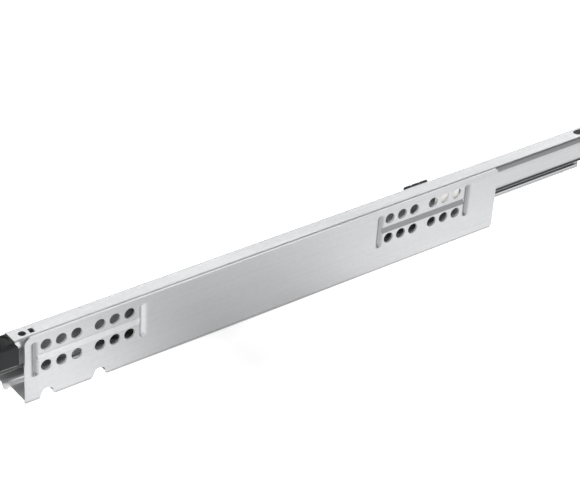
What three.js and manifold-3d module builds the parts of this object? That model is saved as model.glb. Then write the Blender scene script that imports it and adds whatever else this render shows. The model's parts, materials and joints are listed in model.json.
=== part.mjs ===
// Concealed undermount drawer runner for a frameless cabinet: full extension,
// two ball-bearing stages, soft-close unit on the inner side.  Shown closed.
//
// Units: millimetres.  +Z is up, -X is the front of the cabinet (the drawer
// opens towards -X), +Y points away from the cabinet wall, into the cabinet.
// Working coordinates: X = 0 at the first column of screw holes, Y = 0 on the
// face that lies against the cabinet wall, Z = 0 on the underside.  The whole
// group is shifted at the end so that the origin is at the centre of the
// underside of the runner's box.

import * as THREE from 'three';
import { mergeVertices } from 'three/addons/utils/BufferGeometryUtils.js';
import Module from 'manifold-3d';

const wasm = await Module();
wasm.setup();

// ---------------------------------------------------------------- dimensions
const SHEET = 1.2;               // galvanised strip
const GAP = 0.3;                 // clearance between parts that touch

// screw flange and floor of the cabinet bracket
const FLANGE_X0 = -12.4;         // front edge
const FLANGE_X1 = 304.9;         // rear edge
const FLANGE_H = 40.4;           // height of the screw flange
const FLANGE_CORNER = 4.0;       // front top corner radius
const HOLE_R = 3.3;              // 6.6 mm, clear of a 6.3 mm system screw
const HOLE_COLS = [0, 9, 18, 32, 41, 50];
const HOLE_GROUPS = [0, 224];    // 7 x 32 mm apart
const HOLE_ROWS = [20.0, 33.0];
const BEAD_W = 4.4;              // H-shaped stiffening bead round each group
const BEAD_BOTTOM = 0.5;         // its width at the bottom, between sloping flanks
const BEAD_DEPTH = 1.1;          // of the two uprights
const BEAD_PROUD = 0.75;         // how far they stand out of the inner face
const BAR_DEPTH = 1.2;           // of the crossbar, which has a steep upper flank
const BAR_SHIFT = 1.0;           // and a long lower one
const BEAD_DX = [-6.8, 57.9];
const BEAD_Z = [15.2, 36.7];
const BEAD_MID = 26.25;
const NOTCHES = [-3.8, 27.8];    // cut into the lower bend: x of the left-hand corner
const NOTCH_OUTLINE = [[0, -1], [0, 0.6], [0.75, 3.4], [1.9, 4.9], [3.2, 5.35], [5.0, 5.25],
  [6.6, 4.5], [7.7, 3.0], [8.1, 0.8], [8.1, -1]];
const NOTCH_DEPTH = 7.0;         // how far they run into the floor
const RISER_Y = 15.7;            // near face of the step up to the rail seat
const SEAT_Z = 5.6;              // top of the rail seat
const FAR_Y = 30.0;              // outside of the far foot
const TONGUE_X0 = -17.2;         // rail seat runs forward of the flange

// fixed rail: hemmed base and upright web
const RAIL_X0 = -16.0, RAIL_X1 = 391.2;
const RAIL_NEAR_X0 = -3.0;       // its near edge starts further back
const RAIL_Z0 = SEAT_Z + GAP;    // 5.9
const RAIL_Z1 = 9.1;
const RAIL_Y0 = 16.1, RAIL_Y1 = 28.3;
const RAIL_C = 23.3;             // centre plane of the web
const RAIL_WEB_TOP = 17.0;

// ball stages
const BALL_R = 1.5;
const CAGE_T = 0.8;
const RACE_IN = 8.2;             // inside width of both channels
const LOWER_BALL_Z = 13.6;
const UPPER_BALL_R = 1.45;
const UPPER_BALL_Z = 35.58;      // in the V of the drawer member's head
const UPPER_BALL_Q = 2.87;       // from the centre plane

// middle member
const MID_X0 = -15.0, MID_X1 = 383.0;
const MID_WEB_X0 = -9.0;         // the upright web starts behind the cap's plug
const MID_Z0 = 10.3, MID_Z1 = 20.2;
const MID_WEB_TOP = 36.0;
const MID_HEM_Z = 33.2;          // the web is hemmed to twice its thickness above this

// drawer member: a head with a V-shaped ball race along each side, on two
// walls; the near one flares out at the bottom, the far one curls in
const DRW_X0 = -16.1, DRW_X1 = 392.0;
const DRW_LIP_X0 = -27.0, DRW_LIP_Z = 24.5;
const DRW_C = 8.3;               // centre plane
const DRW_Z1 = 38.6;
const DRW_WALL = 3.3;            // outside of a wall, from the centre plane
const DRW_HEAD = 6.0;            // outside of the head, from the centre plane
const DRW_Y0 = DRW_C - DRW_HEAD; // 2.3

// front cap
const CAP_X0 = -30.0;

// soft-close unit
const UNIT_X0 = 172.0, UNIT_X1 = 301.0;
const UNIT_Y0 = 30.3, UNIT_Y1 = 43.3;
const UNIT_H = 12.5;
const DAMPER_Y = 34.9, DAMPER_Z = 5.4, DAMPER_R = 3.0;
const SPRING_Y = 40.0, SPRING_Z = 5.4, SPRING_R = 1.35, WIRE_R = 0.32;

// whole box, used only to place the origin
const BOX_X0 = CAP_X0, BOX_X1 = 396.4;
const BOX_Y0 = 0, BOX_Y1 = UNIT_Y1;

// ------------------------------------------------------------------ materials
const steel = (c = 0xcdd0d2, r = 0.34) =>
  new THREE.MeshStandardMaterial({ color: c, roughness: r, metalness: 0.9 });
const plastic = (c, r = 0.55) =>
  new THREE.MeshStandardMaterial({ color: c, roughness: r, metalness: 0.0 });
const ZINC = steel();
const ZINC_DARK = steel(0xa9adb0, 0.42);
const BALL_STEEL = steel(0xe2e4e6, 0.12);
const SPRING_STEEL = steel(0x8b8f93, 0.3);
const BLACK = plastic(0x232528, 0.5);
const GREY = plastic(0x55595d, 0.55);
const NATURAL = plastic(0xd9d8d2, 0.45);
const RUBBER = plastic(0x1b1b1c, 0.85);

// -------------------------------------------------------------------- helpers
const group = new THREE.Group();
const body = new THREE.Group();
body.position.set(-(BOX_X0 + BOX_X1) / 2, -(BOX_Y0 + BOX_Y1) / 2, 0);
group.add(body);

function toSolid(geo) {
  let g = geo.clone();
  g.deleteAttribute('normal');
  if (g.getAttribute('uv')) g.deleteAttribute('uv');
  g = mergeVertices(g, 1e-4);
  return new wasm.Manifold(new wasm.Mesh({
    numProp: 3,
    vertProperties: new Float32Array(g.getAttribute('position').array),
    triVerts: new Uint32Array(g.index.array),
  }));
}

function toGeometry(solid) {
  const m = solid.getMesh();
  const g = new THREE.BufferGeometry();
  g.setAttribute('position', new THREE.BufferAttribute(new Float32Array(m.vertProperties), 3));
  g.setIndex(new THREE.BufferAttribute(new Uint32Array(m.triVerts), 1));
  g.computeVertexNormals();
  return g;
}

function part(name, geometry, material) {
  const g = geometry.isBufferGeometry ? geometry : toGeometry(geometry);
  const mesh = new THREE.Mesh(g, material);
  mesh.name = name;
  body.add(mesh);
  return mesh;
}

const shapeOf = (pts) => new THREE.Shape(pts.map(([a, b]) => new THREE.Vector2(a, b)));
const extrude = (shape, depth, curveSegments = 8) =>
  new THREE.ExtrudeGeometry(shape, { depth, bevelEnabled: false, curveSegments, steps: 1 });

const AX_YZ = new THREE.Matrix4().makeBasis(
  new THREE.Vector3(0, 1, 0), new THREE.Vector3(0, 0, 1), new THREE.Vector3(1, 0, 0));
const AX_XZ = new THREE.Matrix4().makeBasis(
  new THREE.Vector3(1, 0, 0), new THREE.Vector3(0, 0, 1), new THREE.Vector3(0, -1, 0));

// section in the Y-Z plane, run along X
function alongX(shape, x0, x1) {
  const g = extrude(shape, x1 - x0);
  g.applyMatrix4(AX_YZ);
  g.translate(x0, 0, 0);
  return g;
}
// outline in the X-Z plane, run along Y
function alongY(shape, y0, y1, seg = 8) {
  const g = extrude(shape, y1 - y0, seg);
  g.applyMatrix4(AX_XZ);
  g.translate(0, y1, 0);
  return g;
}
// outline in the X-Y plane, run along Z
function alongZ(shape, z0, z1, seg = 8) {
  const g = extrude(shape, z1 - z0, seg);
  g.translate(0, 0, z0);
  return g;
}
function box(x0, x1, y0, y1, z0, z1) {
  const g = new THREE.BoxGeometry(x1 - x0, y1 - y0, z1 - z0);
  g.translate((x0 + x1) / 2, (y0 + y1) / 2, (z0 + z1) / 2);
  return g;
}
const circle = (cx, cy, r) => {
  const s = new THREE.Shape();
  s.absarc(cx, cy, r, 0, Math.PI * 2, false);
  return s;
};
function slot(x0, x1, y0, y1) {        // straight slot with round ends along its longer side
  const s = new THREE.Shape();
  if (x1 - x0 >= y1 - y0) {
    const r = (y1 - y0) / 2, c = (y0 + y1) / 2;
    s.absarc(x1 - r, c, r, -Math.PI / 2, Math.PI / 2, false);
    s.absarc(x0 + r, c, r, Math.PI / 2, Math.PI * 1.5, false);
  } else {
    const r = (x1 - x0) / 2, c = (x0 + x1) / 2;
    s.absarc(c, y1 - r, r, 0, Math.PI, false);
    s.absarc(c, y0 + r, r, Math.PI, Math.PI * 2, false);
  }
  s.closePath();
  return s;
}
function lathe(points, seg = 20) {     // about local Z, profile given as [radius, z]
  const g = new THREE.LatheGeometry(points.map(([r, z]) => new THREE.Vector2(r, z)), seg);
  g.rotateX(Math.PI / 2);
  return g;
}

// rounds the inner corners of a centre line
function bend(pts, r, n = 3) {
  const out = [pts[0]];
  for (let i = 1; i < pts.length - 1; i++) {
    const [ax, ay] = pts[i - 1], [bx, by] = pts[i], [cx, cy] = pts[i + 1];
    const la = Math.hypot(ax - bx, ay - by), lc = Math.hypot(cx - bx, cy - by);
    const ux = (ax - bx) / la, uy = (ay - by) / la, vx = (cx - bx) / lc, vy = (cy - by) / lc;
    const ang = Math.acos(Math.max(-1, Math.min(1, ux * vx + uy * vy)));
    if (Math.PI - ang < 0.05) { out.push(pts[i]); continue; }
    const d = Math.min(r / Math.tan(ang / 2), la * 0.48, lc * 0.48);
    const rr = d * Math.tan(ang / 2);
    const bl = Math.hypot(ux + vx, uy + vy), k = rr / Math.sin(ang / 2);
    const ox = bx + (ux + vx) / bl * k, oy = by + (uy + vy) / bl * k;
    const a0 = Math.atan2(by + uy * d - oy, bx + ux * d - ox);
    let a1 = Math.atan2(by + vy * d - oy, bx + vx * d - ox);
    while (a1 - a0 > Math.PI) a1 -= 2 * Math.PI;
    while (a1 - a0 < -Math.PI) a1 += 2 * Math.PI;
    for (let j = 0; j <= n; j++) {
      const a = a0 + (a1 - a0) * j / n;
      out.push([ox + rr * Math.cos(a), oy + rr * Math.sin(a)]);
    }
  }
  out.push(pts[pts.length - 1]);
  return out;
}
// closed outline of a strip of sheet from its centre line
function strip(pts, t = SHEET) {
  const L = [], R = [];
  for (let i = 0; i < pts.length; i++) {
    const p = pts[i], a = pts[Math.max(0, i - 1)], c = pts[Math.min(pts.length - 1, i + 1)];
    let n1 = null, n2 = null;
    if (i > 0) { const l = Math.hypot(p[0] - a[0], p[1] - a[1]); n1 = [-(p[1] - a[1]) / l, (p[0] - a[0]) / l]; }
    if (i < pts.length - 1) { const l = Math.hypot(c[0] - p[0], c[1] - p[1]); n2 = [-(c[1] - p[1]) / l, (c[0] - p[0]) / l]; }
    n1 = n1 || n2; n2 = n2 || n1;
    let nx = n1[0] + n2[0], ny = n1[1] + n2[1];
    const l = Math.hypot(nx, ny); nx /= l; ny /= l;
    const k = (t / 2) / (nx * n1[0] + ny * n1[1]);
    L.push([p[0] + nx * k, p[1] + ny * k]);
    R.push([p[0] - nx * k, p[1] - ny * k]);
  }
  const poly = L.concat(R.reverse());
  return shapeOf(THREE.ShapeUtils.isClockWise(poly.map(([a, b]) => new THREE.Vector2(a, b)))
    ? poly.reverse() : poly);
}

const H = SHEET / 2;

// wedge-shaped solid of a pressed bead between two planes: full width where it
// leaves the face, narrow at its bottom, ends rounded in plan
function bead(x0, x1, z0, z1, y0, y1, grow, depth = BEAD_DEPTH, shift = 0) {
  const slope = (BEAD_W - BEAD_BOTTOM) / 2 / depth;
  const pts = [];
  for (const y of [y0, y1]) {
    const inset = slope * (depth - (y1 - y)) - grow;
    const up = shift * (depth - (y1 - y)) / depth;
    const r = Math.max(0.1, Math.min(x1 - x0, z1 - z0) / 2 - inset);
    const cx = (x0 + x1) / 2, cz = (z0 + z1) / 2;
    const hx = (x1 - x0) / 2 - BEAD_W / 2, hz = (z1 - z0) / 2 - BEAD_W / 2;
    for (let i = 0; i < 16; i++) {
      const a = (i + 0.5) / 16 * Math.PI * 2;
      pts.push([cx + Math.sign(Math.cos(a)) * Math.max(hx, 0) + r * Math.cos(a), y,
        cz + up + Math.sign(Math.sin(a)) * Math.max(hz, 0) + r * Math.sin(a)]);
    }
  }
  return wasm.Manifold.hull(pts);
}

// ------------------------------------------------------------ cabinet bracket
// One pressed strip: screw flange, floor, step up to the rail seat, far foot.
{
  const line = bend([[H, FLANGE_H], [H, H], [RISER_Y + H, H], [RISER_Y + H, SEAT_Z - H],
    [FAR_Y - H, SEAT_Z - H], [FAR_Y - H, 0]], 1.1, 3);
  let s = toSolid(alongX(strip(line), FLANGE_X0, FLANGE_X1));

  // the step and seat run on a little in front of the flange
  const tongue = bend([[RISER_Y + H, 0], [RISER_Y + H, SEAT_Z - H], [27.5, SEAT_Z - H]], 1.1, 3);
  s = s.add(toSolid(alongX(strip(tongue), TONGUE_X0, FLANGE_X0 + 0.5)));
  s = s.subtract(toSolid(alongY(shapeOf([[TONGUE_X0 - 1, -1], [TONGUE_X0 + 1.9, -1], [TONGUE_X0 + 1.3, 0.5], [TONGUE_X0 + 0.4, 1.6],
    [TONGUE_X0, 3.0], [TONGUE_X0 - 1, 3.0]]), 15, 18)));

  // pressed H beads: sunk into the outer face, standing out of the inner one
  for (const g of HOLE_GROUPS) {
    const [v0, v1] = BEAD_DX;
    const lines = [
      [g + v0 - BEAD_W / 2, g + v0 + BEAD_W / 2, BEAD_Z[0], BEAD_Z[1], BEAD_DEPTH, 0, BEAD_PROUD],
      [g + v1 - BEAD_W / 2, g + v1 + BEAD_W / 2, BEAD_Z[0], BEAD_Z[1], BEAD_DEPTH, 0, BEAD_PROUD],
      [g + v0 + 0.2, g + v1 - 0.2, BEAD_MID - BEAD_W / 2, BEAD_MID + BEAD_W / 2, BAR_DEPTH, BAR_SHIFT, BAR_DEPTH],
    ];
    for (const [a, b, c, d, , k, out] of lines) {
      s = s.add(bead(a, b, c, d, SHEET - 0.3, SHEET + out, 0.35, out, k));
    }
    for (const [a, b, c, d, t, k] of lines) {
      s = s.subtract(bead(a, b, c, d, -0.4, t, 0, t, k));
    }
  }
  // screw holes
  for (const g of HOLE_GROUPS) for (const c of HOLE_COLS) for (const z of HOLE_ROWS) {
    s = s.subtract(toSolid(alongY(circle(g + c, z, HOLE_R), -2, 4, 10)));
  }
  // notches in the lower bend
  for (const x of NOTCHES) {
    s = s.subtract(toSolid(alongY(shapeOf(NOTCH_OUTLINE.map(([a, z]) => [x + a, z]).reverse()), -1, NOTCH_DEPTH)));
  }
  // flange corners
  {
    const r = FLANGE_CORNER, c = new THREE.Shape();
    c.moveTo(FLANGE_X0 - 1, FLANGE_H + 1);
    c.lineTo(FLANGE_X0 - 1, FLANGE_H - r);
    c.lineTo(FLANGE_X0, FLANGE_H - r);
    c.absarc(FLANGE_X0 + r, FLANGE_H - r, r, Math.PI, Math.PI / 2, true);
    c.lineTo(FLANGE_X0 + r, FLANGE_H + 1);
    c.closePath();
    s = s.subtract(toSolid(alongY(c, -1, 2, 6)));
    s = s.subtract(toSolid(alongY(shapeOf([[FLANGE_X1 - 1.6, FLANGE_H + 1], [FLANGE_X1 + 1, FLANGE_H + 1],
      [FLANGE_X1 + 1, FLANGE_H - 1.6], [FLANGE_X1, FLANGE_H - 1.6], [FLANGE_X1 - 1.6, FLANGE_H]].reverse()), -1, 2)));
    s = s.subtract(toSolid(alongY(shapeOf([[FLANGE_X1 - 1.2, -1], [FLANGE_X1 + 1, -1], [FLANGE_X1 + 1, 1.2],
      [FLANGE_X1, 1.2], [FLANGE_X1 - 1.2, 0]]), -1, 2)));
  }
  // rivet holes in the seat
  for (const x of [20, 110, 200, 290]) {
    s = s.subtract(toSolid(alongZ(circle(x, RAIL_C, 2.0), 3, 7, 5)));
  }
  // rivet holes for the soft-close unit in the far foot
  for (const x of [184, 293]) {
    s = s.subtract(toSolid(alongY(circle(x, 2.3, 1.3), 28, 31, 4)));
  }
  part('cabinet_bracket', s, ZINC);
}

// --------------------------------------------------------------- cabinet rail
{
  const rail = shapeOf([
    [RAIL_Y0 + 0.3, RAIL_Z0], [RAIL_Y1 - 0.3, RAIL_Z0], [RAIL_Y1, RAIL_Z0 + 0.3],
    [RAIL_Y1, RAIL_Z1 - 0.3], [RAIL_Y1 - 0.3, RAIL_Z1],
    [RAIL_C + H + 0.5, RAIL_Z1], [RAIL_C + H, RAIL_Z1 + 0.5],
    [RAIL_C + H, RAIL_WEB_TOP - 0.2], [RAIL_C + H - 0.2, RAIL_WEB_TOP],
    [RAIL_C - H + 0.2, RAIL_WEB_TOP], [RAIL_C - H, RAIL_WEB_TOP - 0.2],
    [RAIL_C - H, RAIL_Z1 + 0.5], [RAIL_C - H - 0.5, RAIL_Z1],
    [RAIL_Y0 + 0.3, RAIL_Z1], [RAIL_Y0, RAIL_Z1 - 0.3],
    // the fold line of the hem along the near edge
    [RAIL_Y0, 7.65], [RAIL_Y0 + 0.25, 7.5], [RAIL_Y0, 7.35],
    [RAIL_Y0, RAIL_Z0 + 0.3],
  ]);
  let s = toSolid(alongX(rail, RAIL_X0, RAIL_X1));
  s = s.subtract(toSolid(box(RAIL_X0 - 1, RAIL_NEAR_X0, RAIL_Y0 - 1, RAIL_C - H, RAIL_Z0 - 1, RAIL_Z1 + 3)));
  for (const x of [20, 110, 200, 290]) {
    s = s.subtract(toSolid(alongZ(circle(x, RAIL_C, 2.0), 5, 8.6, 5)));
  }
  // stud hole near the rear end
  s = s.subtract(toSolid(alongZ(circle(378.5, 18.4, 1.6), 5, 8.2, 5)));
  // plan chamfer on the rear near corner
  s = s.subtract(toSolid(alongZ(shapeOf([[RAIL_X1 - 1.4, RAIL_Y0 - 1], [RAIL_X1 + 1, RAIL_Y0 - 1],
    [RAIL_X1 + 1, RAIL_Y0 + 1.4], [RAIL_X1, RAIL_Y0 + 1.4], [RAIL_X1 - 1.4, RAIL_Y0]]), 5, 10)));
  part('cabinet_rail', s, ZINC);

  [20, 110, 200, 290].forEach((x, i) => {
    const g = lathe([[0, 2.9], [1.6, 3.05], [2.6, 3.55], [2.8, 4.1], [1.7, 4.1], [1.7, 8.3], [0, 8.3]], 14);
    g.translate(x, RAIL_C, 0);
    part(`rail_rivet_${i + 1}`, g, ZINC_DARK);
  });
  const stud = lathe([[0, 4.3], [1.0, 4.3], [1.3, 4.6], [1.3, 7.9], [0, 7.9]], 12);
  stud.translate(378.5, 18.4, 0);
  part('rear_locating_stud', stud, ZINC_DARK);
}

// rubber buffer at the rear end of the rail: stops the middle member when closed
{
  const outline = shapeOf([[19.4, 9.5], [27.2, 9.5], [27.2, 17.2], [26.2, 18.2], [20.4, 18.2], [19.4, 17.2]]);
  let s = toSolid(alongX(outline, 383.5, 390.0));
  s = s.subtract(toSolid(box(382, 393, RAIL_C - H - 0.3, RAIL_C + H + 0.3, 9, RAIL_WEB_TOP + 0.3)));
  s = s.subtract(toSolid(alongX(shapeOf([[RAIL_C - H - 0.85, 9], [RAIL_C + H + 0.85, 9], [RAIL_C + H + 0.3, 10], [RAIL_C - H - 0.3, 10]]), 382, 393)));
  part('rail_end_buffer', s, RUBBER);
}

// side guide pad, between the screw flange and the drawer member
{
  const s = alongY(shapeOf([[259.8, 29.6], [275.6, 29.6], [276.6, 30.6], [276.6, 36.2], [275.6, 37.2], [259.8, 37.2], [258.8, 36.2], [258.8, 30.6]]),
    SHEET + 0.25, DRW_Y0 - 0.3);
  part('side_guide_pad', s, NATURAL);
}

// -------------------------------------------------------------- middle member
// Channel over the rail's web, its walls drawn in at their lower edges, joined
// by a shelf to the upright web that runs inside the drawer member.
{
  const near = RAIL_C - RACE_IN / 2 - H, far = RAIL_C + RACE_IN / 2 + H;
  const top = MID_Z1 - H;
  const a = bend([[DRW_C, MID_WEB_TOP - 1], [DRW_C, top], [far, top], [far, 12.5], [far - 0.3, 11.6], [far - 0.95, 10.75]], 1.1, 3);
  let s = toSolid(alongX(strip(a), MID_X0, MID_X1));
  const b = strip(bend([[near, top + 0.2], [near, 12.5], [near + 0.3, 11.6], [near + 0.95, 10.75]], 1.1, 3));
  s = s.add(toSolid(alongX(b, MID_X0, MID_X1)));
  // hem along the top of the upright web
  s = s.add(toSolid(alongX(shapeOf([[DRW_C - SHEET, MID_HEM_Z + 0.5], [DRW_C - H + 0.1, MID_HEM_Z],
    [DRW_C + H - 0.1, MID_HEM_Z], [DRW_C + SHEET, MID_HEM_Z + 0.5], [DRW_C + SHEET, MID_WEB_TOP - 0.5],
    [DRW_C + SHEET - 0.5, MID_WEB_TOP], [DRW_C - SHEET + 0.5, MID_WEB_TOP], [DRW_C - SHEET, MID_WEB_TOP - 0.5]]), MID_X0, MID_X1)));
  // the upright web is cut back at the front and has a sloping nose
  s = s.subtract(toSolid(alongY(shapeOf([[MID_X0 - 1, MID_Z1], [MID_WEB_X0, MID_Z1], [MID_WEB_X0, MID_WEB_TOP - 6],
    [MID_WEB_X0 + 5, MID_WEB_TOP], [MID_WEB_X0 + 5, MID_WEB_TOP + 1], [MID_X0 - 1, MID_WEB_TOP + 1]]), 5, 12)));
  part('middle_member', s, ZINC);
}
// plastic stop that clips over the rear end of the middle member's upright web
{
  const w = DRW_WALL - SHEET - GAP;
  let s = toSolid(box(377.0, 388.0, DRW_C - w, DRW_C + w, 24.6, 32.2));
  s = s.subtract(toSolid(box(376, MID_X1 + GAP, DRW_C - H - GAP, DRW_C + H + GAP, 23, 34)));
  s = s.subtract(toSolid(box(386.7, 389, 3, 13, 30.2, 34)));
  part('middle_end_stop', s, GREY);
}

// ------------------------------------------------------------------ ball cages
function cage(name, x0, x1, c, q, zLow, zTop, ballZ, ballR, xs) {
  const line = bend([[c - q, zLow], [c - q, zTop - CAGE_T / 2], [c + q, zTop - CAGE_T / 2], [c + q, zLow]], 0.9, 2);
  let s = toSolid(alongX(strip(line, CAGE_T), x0, x1));
  // a hole through each side for every ball
  for (const x of xs) {
    s = s.subtract(toSolid(alongY(circle(x, ballZ, ballR + 0.25), c - 6, c - 1.4, 5)));
    s = s.subtract(toSolid(alongY(circle(x, ballZ, ballR + 0.25), c + 1.4, c + 6, 5)));
  }
  // lightening windows in the top
  for (let x = x0 + 14; x < x1 - 20; x += 24) {
    if (xs.some((b) => b > x - 4 && b < x + 16)) continue;
    s = s.subtract(toSolid(alongZ(slot(x, x + 12, c - 0.8, c + 0.8), zTop - 2, zTop + 1, 4)));
  }
  part(name, s, ZINC_DARK);
  // balls
  const stem = name.replace('_cage', '');
  xs.forEach((x, i) => {
    for (const [k, side] of [[-1, 'near'], [1, 'far']]) {
      const g = new THREE.SphereGeometry(ballR, 12, 8);
      g.translate(x, c + k * q, ballZ);
      part(`${stem}_${side}_${i + 1}`, g, BALL_STEEL);
    }
  });
}
const LOWER_BALL_X = [97, 129, 236, 268];
const UPPER_BALL_X = [102, 134, 246, 278];
cage('lower_ball_cage', 90, 275, RAIL_C, RACE_IN / 4 + SHEET / 4, 10.9, 18.7, LOWER_BALL_Z, BALL_R, LOWER_BALL_X);
cage('upper_ball_cage', 95, 285, DRW_C, UPPER_BALL_Q, 34.05, 37.1, UPPER_BALL_Z, UPPER_BALL_R, UPPER_BALL_X);

// -------------------------------------------------------------- drawer member
{
  // centre lines of the walls' lower edges, and of one wall up to the head
  const flare = [[4.6, 20.55], [5.8, 21.7], [5.6, 23.0]];
  const curl = [[6.75, 20.95], [6.15, 22.0], [5.75, 23.2], [5.6, 24.4]];
  const wall = [[5.6, 32.35], [2.75, 35.2], [3.95, DRW_Z1 - H]];
  const far = [...curl, ...wall].map(([y, z]) => [2 * DRW_C - y, z]).reverse();
  let s = toSolid(alongX(strip(bend([...flare, ...wall, ...far], 0.8, 3)), DRW_LIP_X0, DRW_X1));
  // the lower edges run on in front, under the cap
  s = s.subtract(toSolid(box(DRW_LIP_X0 - 1, DRW_X0, 0, 16, DRW_LIP_Z, 40)));
  // front: round and square holes for the front coupling
  s = s.subtract(toSolid(alongZ(circle(-9.5, 7.6, 2.1), 36, 41, 8)));
  s = s.subtract(toSolid(box(-5.5, -2.7, 5.7, 9.5, 36, 41)));
  // rear: slot for the drawer-back hook
  s = s.subtract(toSolid(alongZ(slot(374.4, 383.0, 6.1, 11.3), 36, 41, 6)));
  // hole for the activator's rivet in the far wall
  s = s.subtract(toSolid(alongY(circle(266, 29.0, 1.9), 10, 13, 5)));
  part('drawer_member', s, ZINC);
}

// front cap: moulded nose that closes the drawer member
{
  const y0 = 1.3, y1 = 15.0, zb = DRW_LIP_Z + GAP, zt = DRW_Z1;
  const back = DRW_X0 - GAP, lap = -15.1;
  const sec = shapeOf([[y0 + 0.6, zb], [y1 - 0.8, zb], [y1, zb + 0.8], [y1, zt - 4.2], [y1 - 0.5, zt - 2.5], [y1 - 1.7, zt - 1.1],
    [y1 - 3.9, zt], [y0 + 1.9, zt], [y0 + 0.7, zt - 0.7], [y0, zt - 2.2], [y0, zb + 0.6]]);
  let s = toSolid(alongX(sec, CAP_X0, back));
  // nose falls away towards the front in one curve, and its sides draw in
  const fall = [], draw = [];
  for (let i = 0; i <= 8; i++) {
    const a = i / 8 * Math.PI / 2;
    fall.push([-17.5 - (12.5 * Math.sin(a)), zt - 5.2 * (1 - Math.cos(a))]);
    draw.push([CAP_X0 + 6.5 * (1 - Math.sin(a)), 3.6 * (1 - Math.cos(a))]);
  }
  s = s.subtract(toSolid(alongY(shapeOf([...fall, [CAP_X0 - 1, zt - 5.2], [CAP_X0 - 1, 41], [-17.5, 41]]), 0, 16)));
  s = s.subtract(toSolid(alongZ(shapeOf([...draw.map(([x, y]) => [x, y0 + y]), [CAP_X0 - 1, y0 + 3.6], [CAP_X0 - 1, 0], [CAP_X0 + 6.5, 0]]), 20, 41)));
  s = s.subtract(toSolid(alongZ(shapeOf([...draw.map(([x, y]) => [x, y1 - y]), [CAP_X0 - 1, y1 - 3.6], [CAP_X0 - 1, 17], [CAP_X0 + 6.5, 17]].reverse()), 20, 41)));
  // shallow dish in the top, round at its rear end
  const dish = toSolid(alongZ(slot(-45, -17.3, 2.9, 12.3), zt - 7, 41, 6));
  s = s.subtract(dish.subtract(s.translate([0, 0, -0.45])));
  // skirt that laps over the near wall, and more thinly over the head
  s = s.add(toSolid(alongX(sec, back - 1, lap)).intersect(
    toSolid(alongY(shapeOf([[back - 1, zb], [lap, zb], [lap, 31.6], [back - 1, 32.0]]), y0 - 1, DRW_C - DRW_WALL - GAP))
      .add(toSolid(alongY(shapeOf([[back - 1, 31], [lap, 31], [lap, 35.0], [lap - 0.4, 36.6], [back, 38.0], [back - 1, 38.2]]), y0 - 1, DRW_Y0 - GAP)))));
  // plug inside the drawer member
  s = s.add(toSolid(box(DRW_X0 - 1, DRW_X0 + 5.5, 6.5, 10.1, 25.5, 36.6)));
  // recess in the front face for the drawer's front coupling
  s = s.subtract(toSolid(box(CAP_X0 - 1, CAP_X0 + 8, 5.2, 11.4, 26.6, 32.6)));
  part('front_cap', s, BLACK);
}

// activator: clipped to the far wall, reaches out over the middle member
{
  const y0 = DRW_C + DRW_WALL + GAP;
  let s = toSolid(box(263, 281, y0, y0 + 1.8, 20.8, 31.6));
  s = s.add(toSolid(box(263.2, 280.6, y0, 34.4, 20.8, 22.2)));
  s = s.add(toSolid(box(263.2, 280.6, 33.5, 34.4, 22.0, 22.75)));
  s = s.add(toSolid(alongX(shapeOf([[y0 + 1.5, 22.0], [y0 + 6.5, 22.0], [y0 + 1.5, 28.3]]), 271.0, 273.0)));
  // leg that drives the catch, hanging just above it
  s = s.add(toSolid(box(268, 276, 32.0, 34.4, 16.9, 21.4)));
  // two gaps in the rim along its outer edge
  for (const x of [268.6, 274.8]) s = s.subtract(toSolid(box(x - 0.45, x + 0.45, 33, 35, 22.2, 24)));
  s = s.subtract(toSolid(alongY(circle(266, 29.0, 1.9), 11, 15, 5)));
  part('activator', s, BLACK);
  const r = lathe([[0, 0], [1.6, 0], [1.6, 3.9], [2.7, 3.9], [2.5, 4.6], [1.4, 5.0], [0, 5.1]], 14);
  r.rotateX(-Math.PI / 2);                     // shank towards +Y
  r.translate(266, 9.9, 29.0);
  part('activator_rivet', r, ZINC_DARK);
}

// hook at the rear end of the drawer member, for the hole in the drawer's back:
// a tongue under the top face with a nib turned up.  It stays above the web of
// the middle member, which runs out through this end.
{
  let s = toSolid(alongZ(shapeOf([[386.2, 5.9], [392.4, 5.9], [393.2, 6.9], [396.0, 6.9], [396.4, 7.3],
    [396.4, 9.3], [396.0, 9.7], [393.2, 9.7], [392.4, 10.7], [386.2, 10.7]]), 36.3, 37.1));
  s = s.add(toSolid(alongY(shapeOf([[392.6, 36.3], [396.4, 36.3], [396.4, 38.0], [396.0, 38.4],
    [394.8, 38.4], [394.4, 38.0], [394.0, 37.4], [392.6, 37.1]]), 6.9, 9.7)));
  part('rear_hook', s, ZINC_DARK);
}

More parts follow.
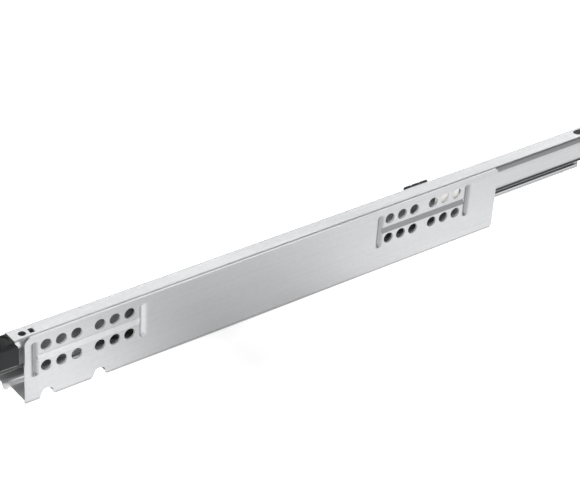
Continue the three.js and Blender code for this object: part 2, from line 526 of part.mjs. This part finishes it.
// ------------------------------------------------------------ soft-close unit
{
  // open-topped trough
  let s = toSolid(box(UNIT_X0, UNIT_X1, UNIT_Y0, UNIT_Y1, 0.3, UNIT_H));
  s = s.subtract(toSolid(box(UNIT_X0 + 2, UNIT_X1 - 2, UNIT_Y0 + 1.3, UNIT_Y1 - 1.3, 1.7, UNIT_H + 1)));
  // pocket wall ahead of the damper's body
  s = s.add(toSolid(box(242.6, 243.8, UNIT_Y0 + 1, UNIT_Y1 - 1, 1.2, 8.9)));
  s = s.subtract(toSolid(box(241, 245, DAMPER_Y - 1.5, DAMPER_Y + 1.5, 3.9, 10)));
  s = s.subtract(toSolid(box(241, 245, SPRING_Y - SPRING_R - 0.7, SPRING_Y + SPRING_R + 0.7, 3.2, 10)));
  // spring anchor
  s = s.add(toSolid(box(295.2, 299.5, SPRING_Y - 1.6, UNIT_Y1 - 1, 1.2, 8.0)));
  // rivet holes
  for (const x of [184, 293]) s = s.subtract(toSolid(alongY(circle(x, 2.3, 1.3), 30, 33, 4)));
  part('soft_close_housing', s, BLACK);

  // rivets into the far foot
  [184, 293].forEach((x, i) => {
    const r = lathe([[0, 0], [1.1, 0], [1.5, 0.4], [1.5, 1.0], [1.0, 1.0], [1.0, 4.0], [0, 4.0]], 10);
    r.rotateX(-Math.PI / 2);
    r.translate(x, 27.5, 2.3);
    part(`housing_rivet_${i + 1}`, r, ZINC_DARK);
  });

  // damper: cylinder lies behind the pocket wall, rod comes out towards the front
  const cyl = new THREE.Shape();
  cyl.absarc(DAMPER_Y, DAMPER_Z, DAMPER_R, 0, Math.PI * 2, false);
  let c = toSolid(alongX(cyl, 244.1, 298.6));
  const bore = new THREE.Shape();
  bore.absarc(DAMPER_Y, DAMPER_Z, 1.15, 0, Math.PI * 2, false);
  c = c.subtract(toSolid(alongX(bore, 243, 297)));
  part('damper_cylinder', c, GREY);

  // catch slider: plate over the damper, lug down to the rod, jaw up to the activator
  let k = toSolid(box(226, 281, 32.0, 41.6, 9.3, 11.9));
  k = k.add(toSolid(box(226, 232.5, 32.2, 41.4, 2.4, 9.6)));
  k = k.add(toSolid(box(262, 266.5, 31.9, 34.6, 11.6, 16.4)));
  k = k.add(toSolid(box(277.5, 281, 31.9, 34.6, 11.6, 15.4)));
  k = k.subtract(toSolid(box(236, 258, 34.4, 39.4, 9, 13)));
  k = k.subtract(toSolid(box(225, 234, DAMPER_Y - 1.4, DAMPER_Y + 1.4, DAMPER_Z - 1.4, DAMPER_Z + 1.4)));
  k = k.subtract(toSolid(box(229.5, 234, SPRING_Y - SPRING_R - 0.6, 42, DAMPER_Z - 2.2, 9.0)));
  part('catch_slider', k, GREY);

  // rod with its cross head behind the lug
  const rod = lathe([[0, 0], [1.1, 0], [1.1, 8.0], [0.85, 8.2], [0.85, 68.0], [0, 68.0]], 10);
  rod.rotateY(Math.PI / 2);
  rod.translate(226.5, DAMPER_Y, DAMPER_Z);
  part('damper_rod', rod, BALL_STEEL);

  // tension spring
  class Coil extends THREE.Curve {
    constructor(x0, x1, n) { super(); this.x0 = x0; this.x1 = x1; this.n = n; }
    getPoint(t, out = new THREE.Vector3()) {
      const a = t * this.n * Math.PI * 2;
      return out.set(this.x0 + (this.x1 - this.x0) * t, SPRING_Y + SPRING_R * Math.cos(a), SPRING_Z + SPRING_R * Math.sin(a));
    }
  }
  const wire = new THREE.Shape();
  wire.absarc(0, 0, WIRE_R, 0, Math.PI * 2, false);
  const g = new THREE.ExtrudeGeometry(wire, {
    steps: 20 * 7, curveSegments: 2, bevelEnabled: false, extrudePath: new Coil(230.4, 294.6, 20),
  });
  part('return_spring', g, SPRING_STEEL);
}

export default group;
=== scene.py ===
# Undermount drawer runner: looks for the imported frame.
import json
import math

import bpy
from mathutils import Matrix, Vector

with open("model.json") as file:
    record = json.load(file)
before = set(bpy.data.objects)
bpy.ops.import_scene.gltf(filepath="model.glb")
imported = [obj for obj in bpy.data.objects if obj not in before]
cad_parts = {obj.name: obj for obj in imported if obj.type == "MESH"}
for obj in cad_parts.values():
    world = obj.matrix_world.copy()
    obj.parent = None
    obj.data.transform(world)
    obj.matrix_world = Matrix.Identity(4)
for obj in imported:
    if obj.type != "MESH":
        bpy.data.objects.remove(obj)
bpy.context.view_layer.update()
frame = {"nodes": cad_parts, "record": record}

N = frame["nodes"]


# ------------------------------------------------------------------ materials
def new_material(name):
    m = bpy.data.materials.new(name)
    m.use_nodes = True
    nt = m.node_tree
    for n in list(nt.nodes):
        nt.nodes.remove(n)
    out = nt.nodes.new("ShaderNodeOutputMaterial")
    bsdf = nt.nodes.new("ShaderNodeBsdfPrincipled")
    nt.links.new(bsdf.outputs[0], out.inputs[0])
    return m, nt, bsdf


def mapped(nt, scale, offset=(0, 0, 0)):
    tc = nt.nodes.new("ShaderNodeTexCoord")
    mp = nt.nodes.new("ShaderNodeMapping")
    mp.inputs["Scale"].default_value = scale
    mp.inputs["Location"].default_value = offset
    nt.links.new(tc.outputs["Object"], mp.inputs["Vector"])
    return mp.outputs[0]


def noise(nt, vec, scale=1.0, detail=3.0, rough=0.55):
    n = nt.nodes.new("ShaderNodeTexNoise")
    n.inputs["Scale"].default_value = scale
    n.inputs["Detail"].default_value = detail
    n.inputs["Roughness"].default_value = rough
    nt.links.new(vec, n.inputs["Vector"])
    return n.outputs["Fac"]


def ramp(nt, fac, stops, blend="LINEAR"):
    r = nt.nodes.new("ShaderNodeValToRGB")
    r.color_ramp.interpolation = blend
    el = r.color_ramp.elements
    while len(el) < len(stops):
        el.new(0.5)
    for e, (p, c) in zip(el, stops):
        e.position = p
        e.color = (*c, 1) if isinstance(c, (tuple, list)) else (c, c, c, 1)
    nt.links.new(fac, r.inputs[0])
    return r.outputs[0]


def math_node(nt, op, a, b):
    n = nt.nodes.new("ShaderNodeMath")
    n.operation = op
    for i, v in enumerate((a, b)):
        if hasattr(v, "is_output"):
            nt.links.new(v, n.inputs[i])
        else:
            n.inputs[i].default_value = v
    return n.outputs[0]


def bump(nt, height, strength, distance, normal=None):
    b = nt.nodes.new("ShaderNodeBump")
    b.inputs["Strength"].default_value = strength
    b.inputs["Distance"].default_value = distance
    nt.links.new(height, b.inputs["Height"])
    if normal is not None:
        nt.links.new(normal, b.inputs["Normal"])
    return b.outputs[0]


def zinc(name, base, rough, grain=1.0, spangle=1.0, metallic=1.0, brushed=0.0, inner=None, bead_shade=(), ledge_shade=None):
    """Galvanised strip: rolling grain along X, faint spangle, a little cloudiness.
    inner = (y, base, metallic): what lies beyond that depth or faces +Y, and the cut walls of the screw holes, take
    that lighter base and lower metallic: painted light for the dimly lit inside.
    bead_shade: (x stops, z stops) of the stiffening beads, where the colour is scaled: painted shade in the grooves and
    a painted highlight on one bead.
    ledge_shade = (z, tone): ledges below that height that face up are darkened to that tone, painted shade."""
    m, nt, b = new_material(name)
    g = noise(nt, mapped(nt, (14, 1500, 1500)), 1.0, 4.0, 0.6)         # rolling lines
    s = noise(nt, mapped(nt, (420, 420, 420), (3, 1, 2)), 1.0, 2.0, 0.5)   # spangle
    c = noise(nt, mapped(nt, (16, 40, 40), (7, 5, 1)), 1.0, 3.0, 0.5)      # clouds
    mix = math_node(nt, "ADD", math_node(nt, "MULTIPLY", g, 0.5 * grain),
                    math_node(nt, "ADD", math_node(nt, "MULTIPLY", s, 0.3 * spangle),
                              math_node(nt, "MULTIPLY", c, 0.2)))
    lo = tuple(v * 0.93 for v in base)
    hi = tuple(min(1.0, v * 1.06) for v in base)
    col = ramp(nt, mix, [(0.3, lo), (0.7, hi)])
    # painted shade on low ledges that face up
    if ledge_shade:
        z_top, shade_tone = ledge_shade
        at = nt.nodes.new("ShaderNodeSeparateXYZ")
        face = nt.nodes.new("ShaderNodeSeparateXYZ")
        world_geo = nt.nodes.new("ShaderNodeNewGeometry")
        nt.links.new(world_geo.outputs["Position"], at.inputs[0])
        nt.links.new(world_geo.outputs["Normal"], face.inputs[0])
        low = ramp(nt, math_node(nt, "MULTIPLY", at.outputs[2], 0.5 / z_top), [(0.50, 1.0), (0.52, 0.0)])
        ledge = math_node(nt, "MULTIPLY", low, ramp(nt, face.outputs[2], [(0.35, 0.0), (0.6, 1.0)]))
        ledge_shaded = nt.nodes.new("ShaderNodeVectorMath")
        ledge_shaded.operation = "SCALE"
        nt.links.new(col, ledge_shaded.inputs[0])
        nt.links.new(math_node(nt, "SUBTRACT", 1.0, math_node(nt, "MULTIPLY", ledge, 1.0 - shade_tone)), ledge_shaded.inputs["Scale"])
        col = ledge_shaded.outputs[0]
    # painted light: the inside, what faces +Y and the walls of the screw holes take a lighter, less metallic copy of
    # the strip's colour
    if inner:
        y0, inside_tone, inside_metallic = inner
        pos = nt.nodes.new("ShaderNodeSeparateXYZ")
        geo = nt.nodes.new("ShaderNodeNewGeometry")
        nt.links.new(geo.outputs["Position"], pos.inputs[0])
        along = math_node(nt, "ADD", math_node(nt, "MULTIPLY", pos.outputs[0], 2.0), 0.5)
        up = math_node(nt, "MULTIPLY", pos.outputs[2], 20.0)
        # painted shade and painted highlight on the flange's beads
        for x_stops, z_stops in bead_shade:
            bead_shaded = nt.nodes.new("ShaderNodeVectorMath")
            bead_shaded.operation = "SCALE"
            nt.links.new(col, bead_shaded.inputs[0])
            change = math_node(nt, "SUBTRACT", ramp(nt, along, x_stops), 1.0)
            nt.links.new(math_node(nt, "ADD", 1.0, math_node(nt, "MULTIPLY", change, ramp(nt, up, z_stops))),
                         bead_shaded.inputs["Scale"])
            col = bead_shaded.outputs[0]
        side = math_node(nt, "MULTIPLY", math_node(nt, "SUBTRACT", pos.outputs[1], y0 - 0.0002), 5000.0)
        side = ramp(nt, side, [(0.0, 0.0), (1.0, 1.0)])
        facing = nt.nodes.new("ShaderNodeSeparateXYZ")
        nt.links.new(geo.outputs["Normal"], facing.inputs[0])
        facing_up = facing.outputs[2]
        side = math_node(nt, "MAXIMUM", side, ramp(nt, facing.outputs[1], [(0.2, 0.0), (0.3, 1.0)]))
        # cut walls of the screw holes, painted in the same lighter tone (painted light)
        edge_on = ramp(nt, math_node(nt, "ABSOLUTE", facing.outputs[1], 0.0), [(0.25, 1.0), (0.45, 0.0)])
        hole_walls = math_node(nt, "MULTIPLY", edge_on, ramp(nt, up, [(0.30, 0.0), (0.32, 1.0), (0.75, 1.0), (0.77, 0.0)]))
        hole_walls = math_node(nt, "MULTIPLY", hole_walls,
                            ramp(nt, along, [(0.118, 0.0), (0.123, 1.0), (0.71, 1.0), (0.72, 0.0)]))
        side = math_node(nt, "MAXIMUM", side, hole_walls)
        inside_col = ramp(nt, mix, [(0.3, tuple(v * 0.95 for v in inside_tone)), (0.7, tuple(min(1.0, v * 1.04) for v in inside_tone))])
        # painted shade: the floor darkens towards the step, and so does the rail seat behind it
        depth = math_node(nt, "MULTIPLY", math_node(nt, "ADD", pos.outputs[1], 0.02165), 50.0)
        inside_light_shade = math_node(nt, "SUBTRACT", 1.0, ramp(nt, depth, [(0.25, 1.0), (0.42, 0.85), (0.62, 0.56), (1.0, 0.70)]))
        inside_light_shade = math_node(nt, "MULTIPLY", inside_light_shade, ramp(nt, facing_up, [(0.5, 0.0), (0.75, 1.0)]))
        light_shade_scale = nt.nodes.new("ShaderNodeVectorMath")
        light_shade_scale.operation = "SCALE"
        nt.links.new(inside_col, light_shade_scale.inputs[0])
        # painted light and shade: the step's face is painted bright behind the flange and darker on the tongue in front
        # of it
        step = math_node(nt, "MULTIPLY", ramp(nt, depth, [(0.76, 0.0), (0.78, 1.0)]),
                         ramp(nt, math_node(nt, "MULTIPLY", facing.outputs[1], -1.0), [(0.6, 0.0), (0.8, 1.0)]))
        tongue = math_node(nt, "SUBTRACT", ramp(nt, along, [(0.100, 0.50), (0.107, 0.58), (0.110, 1.0), (0.112, 1.16)]), 1.0)
        inside_light_shade = math_node(nt, "SUBTRACT", inside_light_shade, math_node(nt, "MULTIPLY", step, tongue))
        nt.links.new(math_node(nt, "SUBTRACT", 1.0, inside_light_shade), light_shade_scale.inputs["Scale"])
        inside_col = light_shade_scale.outputs[0]
        m2 = nt.nodes.new("ShaderNodeMix")
        m2.data_type = "RGBA"
        nt.links.new(side, m2.inputs["Factor"])
        for k in m2.inputs:
            if k.type == "RGBA":
                nt.links.new(col if k.name == "A" else inside_col, k)
        col = [k for k in m2.outputs if k.type == "RGBA"][0]
        met = ramp(nt, side, [(0.0, metallic), (1.0, inside_metallic)])
        nt.links.new(met, b.inputs["Metallic"])
    nt.links.new(col, b.inputs["Base Color"])
    rr = ramp(nt, mix, [(0.3, rough * 1.15), (0.7, rough * 0.88)])
    nt.links.new(rr, b.inputs["Roughness"])
    if not inner:
        b.inputs["Metallic"].default_value = metallic
    if brushed:
        t = nt.nodes.new("ShaderNodeTangent")
        t.direction_type = "RADIAL"
        t.axis = "X"
        nt.links.new(t.outputs[0], b.inputs["Tangent"])
        b.inputs["Anisotropic"].default_value = brushed
    h = math_node(nt, "ADD", math_node(nt, "MULTIPLY", g, grain), math_node(nt, "MULTIPLY", s, 0.35 * spangle))
    nt.links.new(bump(nt, h, 0.25, 0.00004), b.inputs["Normal"])
    return m


def polymer(name, base, rough, fine=1.0, spec=0.5):
    """Moulded plastic with an eroded texture."""
    m, nt, b = new_material(name)
    e = noise(nt, mapped(nt, (2600, 2600, 2600)), 1.0, 3.0, 0.6)
    w = noise(nt, mapped(nt, (60, 60, 60), (2, 8, 4)), 1.0, 2.0, 0.5)
    mix = math_node(nt, "ADD", math_node(nt, "MULTIPLY", e, 0.5), math_node(nt, "MULTIPLY", w, 0.5))
    nt.links.new(ramp(nt, mix, [(0.3, tuple(v * 0.88 for v in base)), (0.7, tuple(min(1, v * 1.12) for v in base))]),
                 b.inputs["Base Color"])
    nt.links.new(ramp(nt, mix, [(0.3, rough * 1.12), (0.7, rough * 0.9)]), b.inputs["Roughness"])
    b.inputs["Specular IOR Level"].default_value = spec
    nt.links.new(bump(nt, e, 0.2 * fine, 0.00005), b.inputs["Normal"])
    return m


ZINC = zinc("zinc_strip", (0.38, 0.384, 0.39), 0.38, metallic=0.75, brushed=0.45)
# painted shade and painted highlight on the beads in the screw flange: their tone against x (0 at -0.25 m, 1 at +0.25
# m) and z (0 at 0, 1 at 0.05 m)
UPRIGHT_SHADE = ([(0.1150, 1.0), (0.1162, 0.88), (0.1196, 0.85), (0.1204, 0.50), (0.1238, 0.55), (0.1250, 1.0),
             (0.2445, 1.0), (0.2455, 1.12), (0.2495, 1.30), (0.2535, 1.25), (0.2545, 1.0),
             (0.5630, 1.0), (0.5642, 0.70), (0.5718, 0.68), (0.5730, 1.0),
             (0.6925, 1.0), (0.6937, 0.62), (0.6973, 0.60), (0.6981, 0.52), (0.7010, 0.52), (0.7022, 1.0)],
            [(0.300, 0.0), (0.318, 1.0), (0.718, 1.0), (0.736, 0.0)])
CROSSBAR_SHADE = ([(0.1245, 1.0), (0.1260, 0.76), (0.2430, 0.80), (0.2445, 1.0)],
            [(0.536, 0.0), (0.544, 1.0), (0.564, 1.0), (0.572, 0.0)])
# the bracket's inner side lies behind its screw flange and is painted lighter there (painted light); its beads carry
# painted shade and a painted highlight
ZINC_BRACKET = zinc("zinc_bracket", (0.38, 0.384, 0.39), 0.38, metallic=0.75, brushed=0.45,
                    inner=(-0.0200, (0.80, 0.805, 0.81), 0.5), bead_shade=(UPRIGHT_SHADE, CROSSBAR_SHADE))
# painted shade on the low up-facing ledges of the rail and the drawer member
ZINC_RAIL = zinc("zinc_rail", (0.38, 0.384, 0.39), 0.38, metallic=0.75, brushed=0.45, ledge_shade=(0.0105, 0.45))
ZINC_DRAWER = zinc("zinc_drawer", (0.38, 0.384, 0.39), 0.38, metallic=0.75, brushed=0.45, ledge_shade=(0.0280, 0.50))
ZINC_DULL = zinc("zinc_plated", (0.54, 0.545, 0.555), 0.38, grain=0.5, metallic=0.8)
BALL = zinc("ball_steel", (0.86, 0.865, 0.87), 0.10, grain=0.1, spangle=0.1)
SPRING = zinc("spring_wire", (0.45, 0.455, 0.465), 0.30, grain=0.3)
BLACK = polymer("black_nylon", (0.0065, 0.007, 0.008), 0.50, spec=0.19)
GREY = polymer("grey_acetal", (0.10, 0.105, 0.11), 0.45)
NATURAL = polymer("natural_acetal", (0.56, 0.55, 0.525), 0.40)
ACTIVATOR = polymer("dark_grey_nylon", (0.040, 0.041, 0.043), 0.42, spec=0.5)
RUBBER = polymer("black_rubber", (0.018, 0.018, 0.018), 0.75, fine=1.5, spec=0.3)

LOOK = {
    "zinc_steel": ZINC, "dark_zinc": ZINC_DULL, "ball_steel": BALL, "spring_steel": SPRING,
    "black_plastic": BLACK, "grey_plastic": GREY, "natural_plastic": NATURAL, "black_rubber": RUBBER,
}
BY_NODE = {"cabinet_bracket": ZINC_BRACKET, "cabinet_rail": ZINC_RAIL, "drawer_member": ZINC_DRAWER,
           "activator": ACTIVATOR}
slot_of = {s["node"]: s["material_slot"] for s in frame["record"]["subparts"]}


# -------------------------------------------------------------- carried nodes
for name, o in N.items():
    o.data.materials.clear()
    o.data.materials.append(BY_NODE.get(name, LOOK[slot_of[name]]))


# ---------------------------------------------------------------------- stage
def add_floor():
    """White light table, a little weaker before the middle of the runner."""
    me = bpy.data.meshes.new("floor")
    k = 6.0
    me.from_pydata([(-k, -k, 0), (k, -k, 0), (k, k, 0), (-k, k, 0)], [], [(0, 1, 2, 3)])
    o = bpy.data.objects.new("floor", me)
    o.location.z = -0.0002
    bpy.context.scene.collection.objects.link(o)
    m, nt, b = new_material("floor_acrylic")
    n = noise(nt, mapped(nt, (3, 3, 3)), 1.0, 2.0)
    nt.links.new(ramp(nt, n, [(0.3, 0.52), (0.7, 0.56)]), b.inputs["Base Color"])
    b.inputs["Roughness"].default_value = 0.8
    sep = nt.nodes.new("ShaderNodeSeparateXYZ")
    nt.links.new(mapped(nt, (1, 1, 1)), sep.inputs[0])
    along = math_node(nt, "ADD", math_node(nt, "MULTIPLY", sep.outputs[0], 2.0), 0.5)
    glow = ramp(nt, along, [(p, v / GLOW_MAX) for p, v in GLOW_X], "CARDINAL")
    across = math_node(nt, "ADD", math_node(nt, "MULTIPLY", sep.outputs[1], 0.5), 0.5)
    near = ramp(nt, across, [((y + 1) / 2, v) for y, v in GLOW_NEAR], "EASE")
    far = ramp(nt, across, [((y + 1) / 2, v * GLOW_REST / GLOW_MAX) for y, v in GLOW_FAR], "EASE")
    level = math_node(nt, "ADD", math_node(nt, "MULTIPLY", glow, near), far)
    # painted shadow: a dark contact-shadow line under the flange's lower edge, broken at its notches
    line = ramp(nt, math_node(nt, "MULTIPLY", math_node(nt, "ADD", sep.outputs[1], 0.03), 50.0), SHADOW_LINE_Y)
    under = math_node(nt, "MULTIPLY", line, ramp(nt, along, SHADOW_LINE_X))
    level = math_node(nt, "MULTIPLY", level, math_node(nt, "SUBTRACT", 1.0, under))
    tint = nt.nodes.new("ShaderNodeCombineColor")
    for k in range(3):
        nt.links.new(level, tint.inputs[k])
    nt.links.new(tint.outputs[0], b.inputs["Emission Color"])
    b.inputs["Emission Strength"].default_value = GLOW_MAX
    me.materials.append(m)
    return o


# glow of the table in the strip before the flange, against x (0 at -0.25 m, 1 at +0.25 m),
# the width of that strip in y, and the rest of the table with its fall-off
GLOW_MAX = 2.6
GLOW_X = [(0.10, 1.56), (0.17, 1.69), (0.25, 1.07), (0.33, 0.56), (0.40, 0.62), (0.47, 0.80), (0.54, 1.22),
          (0.62, 1.58), (0.72, 1.68), (0.84, 1.53), (0.96, 1.41)]
GLOW_NEAR = [(-0.12, 0.0), (-0.06, 1.0), (0.0, 1.0), (0.03, 0.0)]
GLOW_FAR = [(-0.55, 0.5), (-0.28, 1.0), (-0.12, 1.0), (-0.06, 0.0), (0.0, 0.0), (0.03, 1.0), (0.6, 1.0), (0.9, 0.7)]
GLOW_REST = 0.96
# painted contact-shadow line: across it (0 at y -0.030, 1 at y -0.010) and along it (as GLOW_X)
SHADOW_LINE_Y = [(0.405, 0.0), (0.435, 0.85), (0.51, 0.85), (0.55, 0.0)]
SHADOW_LINE_X = [(0.108, 0.0), (0.109, 1.0), (0.1255, 1.0), (0.1265, 0.0), (0.1415, 0.0), (0.1425, 1.0), (0.189, 1.0),
             (0.190, 0.0), (0.2048, 0.0), (0.2058, 1.0), (0.7434, 1.0), (0.744, 0.0)]
add_floor()


def area(name, loc, target, size, power, color=(1, 1, 1), size_y=None, shape=None):
    d = bpy.data.lights.new(name, "AREA")
    d.energy = power
    d.color = color
    d.shape = shape or ("RECTANGLE" if size_y else "SQUARE")
    d.size = size
    if size_y:
        d.size_y = size_y
    o = bpy.data.objects.new(name, d)
    o.location = loc
    o.rotation_mode = "QUATERNION"
    o.rotation_quaternion = (Vector(target) - Vector(loc)).to_track_quat("-Z", "Y")
    bpy.context.scene.collection.objects.link(o)
    return o


world = bpy.data.worlds.new("studio")
bpy.context.scene.world = world
world.use_nodes = True
bg = world.node_tree.nodes["Background"]
bg.inputs["Color"].default_value = (1, 1, 1, 1)
bg.inputs["Strength"].default_value = 0.030

area("back_left", (0.36, 1.00, 0.84), (-0.10, 0, 0.03), 0.7, 5.5, size_y=0.6)
area("back_right", (1.05, 0.84, 0.70), (0.10, 0, 0.03), 0.7, 5.2, size_y=0.6)
area("front_left", (0.10, -0.78, 0.13), (-0.19, 0, 0.03), 0.26, 1.4, size_y=0.26)
area("front_high", (-0.75, -1.15, 1.30), (0.0, 0, 0.03), 1.5, 20.5, size_y=1.1)
area("overhead", (0.0, 0.0, 1.60), (0.0, 0, 0.03), 1.2, 9.0, size_y=0.8)

# --------------------------------------------------------------------- camera
cam_data = bpy.data.cameras.new("camera")
cam_data.sensor_fit = "HORIZONTAL"
cam_data.sensor_width = 36.0
cam_data.lens = 121.514
cam_data.clip_start, cam_data.clip_end = 0.05, 50
cam = bpy.data.objects.new("camera", cam_data)
AX = ((0.8019004672, -0.5949733814, 0.0544271630),
      (-0.2923726752, -0.4702321809, -0.8327063797),
      (0.5210315340, 0.6518346197, -0.5510333648))
rot = Matrix((AX[0], [-v for v in AX[1]], [-v for v in AX[2]])).transposed()
HALF_PIXEL = 2.554e-4
cam.matrix_world = (Matrix.Translation((-0.58559, -0.71733, 0.62398)) @ rot.to_4x4()
                    @ Matrix.Rotation(HALF_PIXEL, 4, "Y") @ Matrix.Rotation(HALF_PIXEL, 4, "X"))
bpy.context.scene.collection.objects.link(cam)
bpy.context.scene.camera = cam
bpy.context.scene.view_settings.view_transform = "Standard"
